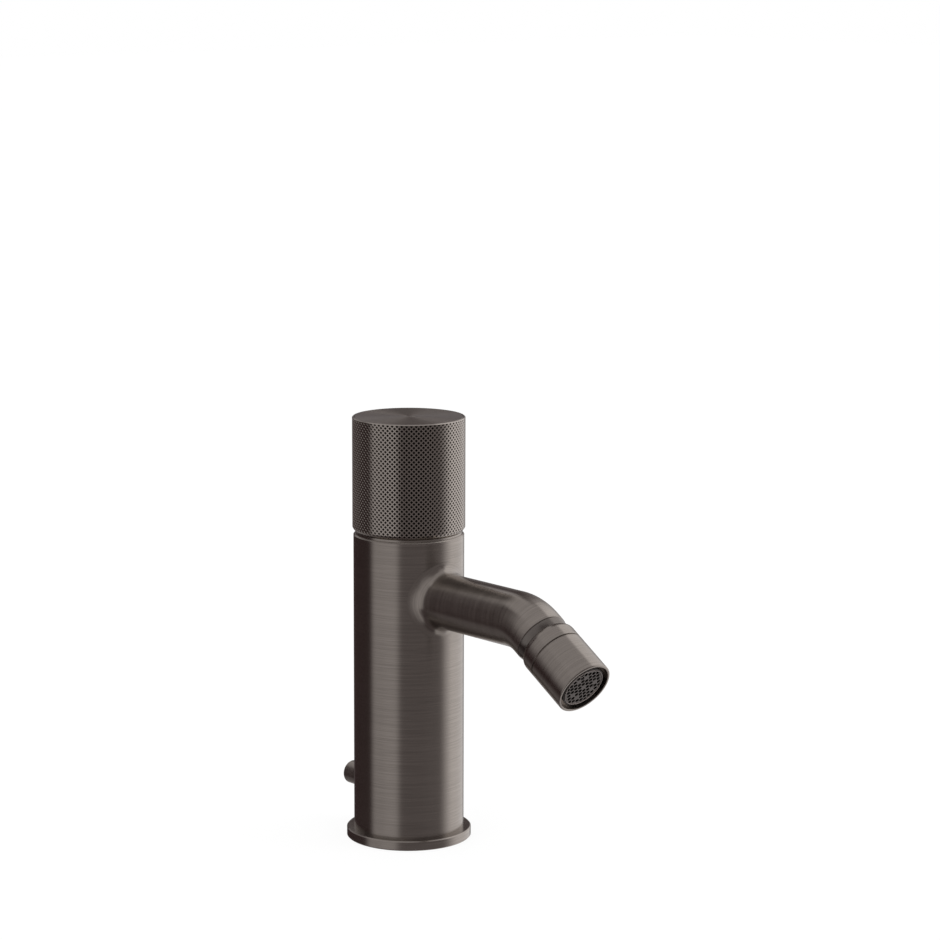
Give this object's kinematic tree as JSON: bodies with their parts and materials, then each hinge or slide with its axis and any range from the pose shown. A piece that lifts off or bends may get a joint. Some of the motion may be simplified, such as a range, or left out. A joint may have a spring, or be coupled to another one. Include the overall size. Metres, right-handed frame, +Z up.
{
  "type": "bidet mixer",
  "caption": "Deck-mounted bidet mixer: round column on a flange, knurled turning knob on top, bent spout with a swivelling aerator head, and a waste pull knob at the back.",
  "frame": {"origin": "centre of the base on the deck, on the axis of the body", "axes": "+Z up along the body, -Y the way the spout points, +X to the right of someone who looks along +Y"},
  "size_m": [0.051, 0.1506, 0.1742],
  "materials": {
    "brushed_bronze": "brass with a dark bronze coat, brushed round; the knob's side is knurled",
    "raw_brass": "machined brass, uncoated",
    "plain_steel": "stainless steel, satin",
    "white_plastic": "moulded acetal or PTFE",
    "dark_nylon": "dark grey moulded plastic",
    "disc_ceramic": "lapped alumina",
    "seal_rubber": "nitrile rubber"
  },
  "bodies": {
    "mixer_body": {"base_flange": "brushed_bronze", "base_seal": "seal_rubber", "body_shell": "brushed_bronze", "spout_tube": "brushed_bronze", "inlet_core": "raw_brass", "core_o_rings": "seal_rubber", "port_seals": "seal_rubber", "cartridge_base": "white_plastic", "fixed_disc": "disc_ceramic", "cartridge_housing": "white_plastic", "retaining_nut": "raw_brass", "trim_ring": "brushed_bronze", "swivel_socket": "brushed_bronze", "socket_washer": "seal_rubber", "ball_seat_ring": "white_plastic", "seat_retainer": "raw_brass", "rod_guide": "white_plastic"},
    "control_knob": {"moving_disc": "disc_ceramic", "cartridge_stem": "white_plastic", "stem_o_ring": "seal_rubber", "knob_adapter": "dark_nylon", "knob_sleeve": "brushed_bronze", "knob_washer": "plain_steel", "knob_screw": "plain_steel", "knob_cap": "brushed_bronze"},
    "swivel_slip": {"slip_ring": "dark_nylon"},
    "swivel_head": {"ball_stem": "raw_brass", "swivel_cap": "brushed_bronze", "aerator_sleeve": "brushed_bronze", "aerator_washer": "seal_rubber", "aerator_insert": "dark_nylon", "aerator_screen": "plain_steel", "flow_regulator": "dark_nylon", "aerator_plate": "dark_nylon"},
    "waste_pull": {"drain_rod": "plain_steel", "drain_knob": "brushed_bronze"}
  },
  "joints": [
    {"name": "knob_turn", "type": "hinge", "parent": "mixer_body", "child": "control_knob", "pos_m": [0, 0, 0.15], "axis": [0, 0, 1], "range_deg": [0, 100]},
    {"name": "head_pitch", "type": "hinge", "parent": "mixer_body", "child": "swivel_slip", "pos_m": [0, -0.08063, 0.09745], "axis": [1, 0, 0], "range_deg": [-10, 10]},
    {"name": "head_yaw", "type": "hinge", "parent": "swivel_slip", "child": "swivel_head", "pos_m": [0, -0.08063, 0.09745], "axis": [0, -0.5225, 0.8526], "range_deg": [-10, 10]},
    {"name": "waste_lift", "type": "slide", "parent": "mixer_body", "child": "waste_pull", "axis": [0, 0, 1], "range_m": [0, 0.012]}
  ]
}
